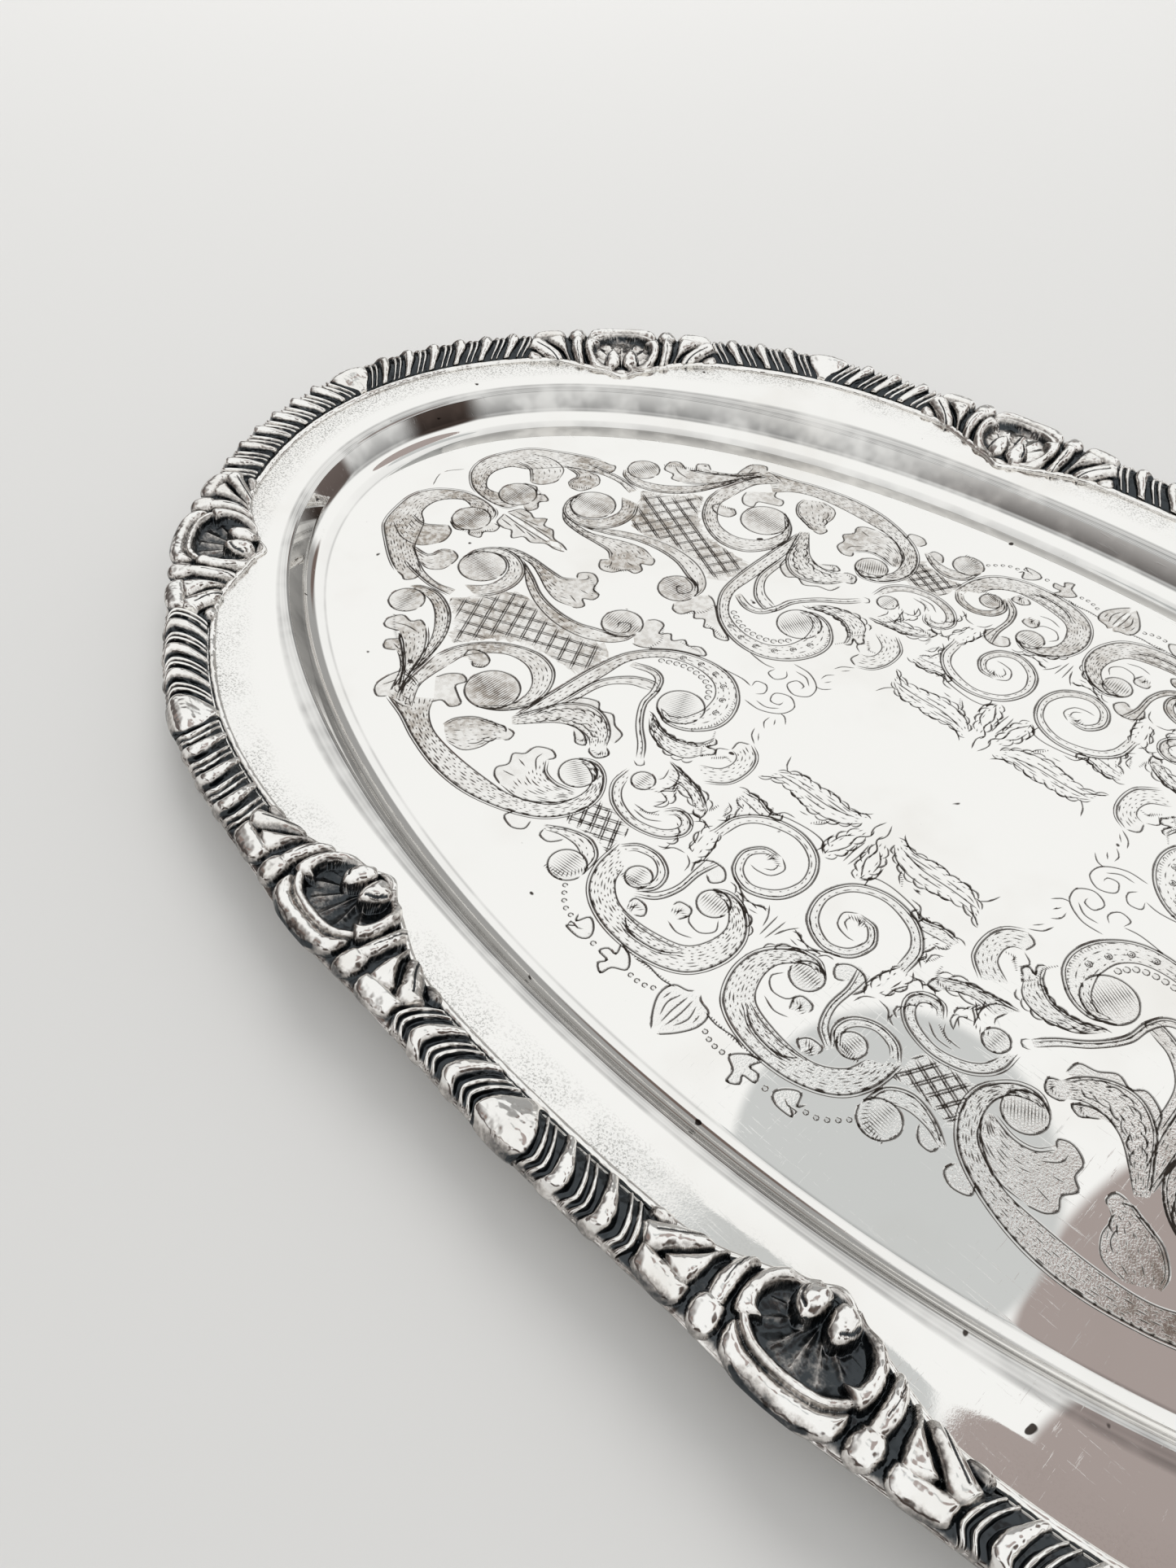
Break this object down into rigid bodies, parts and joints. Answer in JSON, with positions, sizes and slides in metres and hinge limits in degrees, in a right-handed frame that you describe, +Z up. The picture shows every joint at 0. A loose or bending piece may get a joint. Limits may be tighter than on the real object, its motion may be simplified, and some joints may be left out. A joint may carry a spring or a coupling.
{
  "type": "oval serving salver",
  "caption": "Oval silver-plated salver with a shallow well, a chased floor and an applied shell-and-gadroon border.",
  "frame": {"origin": "on the resting plane, under the centre of the flat floor", "axes": "+Z up out of the well, +X along the long axis, +Y along the short axis"},
  "size_m": [0.4288, 0.2628, 0.0162],
  "materials": {
    "sheet_silver": "polished silver plate, hand-rubbed, chased floor, light wear",
    "cast_silver": "polished silver on the high points, dark tarnish in the recesses",
    "wire_silver": "polished silver plate"
  },
  "bodies": {
    "root": {"tray_body": "sheet_silver", "inner_wire": "wire_silver", "shell_mount_1": "cast_silver", "shell_mount_2": "cast_silver", "shell_mount_3": "cast_silver", "shell_mount_4": "cast_silver", "shell_mount_5": "cast_silver", "shell_mount_6": "cast_silver", "shell_mount_7": "cast_silver", "shell_mount_8": "cast_silver", "knuckle_1": "cast_silver", "knuckle_2": "cast_silver", "knuckle_3": "cast_silver", "knuckle_4": "cast_silver", "knuckle_5": "cast_silver", "knuckle_6": "cast_silver", "knuckle_7": "cast_silver", "knuckle_8": "cast_silver", "gadroon_1": "cast_silver", "gadroon_2": "cast_silver", "gadroon_3": "cast_silver", "gadroon_4": "cast_silver", "gadroon_5": "cast_silver", "gadroon_6": "cast_silver", "gadroon_7": "cast_silver", "gadroon_8": "cast_silver", "gadroon_9": "cast_silver", "gadroon_10": "cast_silver", "gadroon_11": "cast_silver", "gadroon_12": "cast_silver", "gadroon_13": "cast_silver", "gadroon_14": "cast_silver", "gadroon_15": "cast_silver", "gadroon_16": "cast_silver"}
  },
  "joints": []
}
